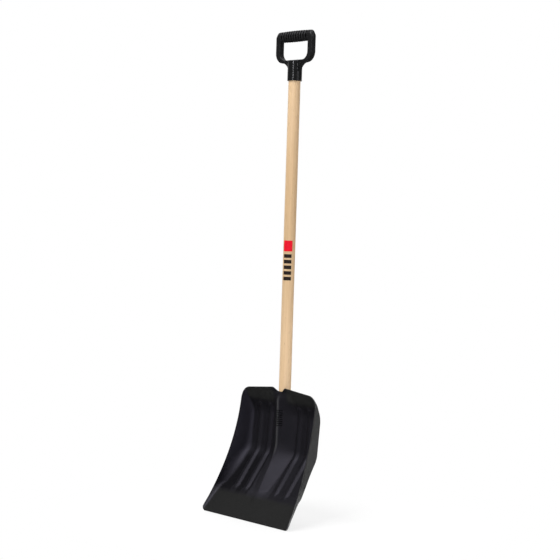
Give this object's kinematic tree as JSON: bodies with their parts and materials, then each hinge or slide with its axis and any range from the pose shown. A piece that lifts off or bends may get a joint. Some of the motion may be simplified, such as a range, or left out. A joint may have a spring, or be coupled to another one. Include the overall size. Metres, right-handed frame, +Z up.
{
  "type": "snow shovel",
  "caption": "Hand snow shovel: a scoop with side walls, ribs and a central hump, a straight round wooden shaft and a ribbed D-grip.",
  "frame": {"origin": "middle of the leading edge's face, at the foot of the scoop", "axes": "+Z up, parallel to the shaft, from the leading edge to the grip; the scoop's open face looks along -Y and the shaft's axis stands at Y = 122 mm; +X to the right of someone facing the scoop"},
  "size_m": [0.3236, 0.1452, 1.2079],
  "materials": {
    "black_plastic": "fine-grained matte, smoother on the hump and ribs",
    "ash_wood": "sanded, clear satin lacquer, straight grain along the shaft",
    "screw_steel": "zinc plated",
    "red_ink": "satin transfer film",
    "black_ink": "satin transfer film"
  },
  "bodies": {
    "root": {"blade": "black_plastic", "shaft": "ash_wood", "d_grip": "black_plastic", "blade_screws": "screw_steel", "grip_screw": "screw_steel", "shaft_mark_red": "red_ink", "shaft_mark_black": "black_ink"}
  },
  "joints": []
}
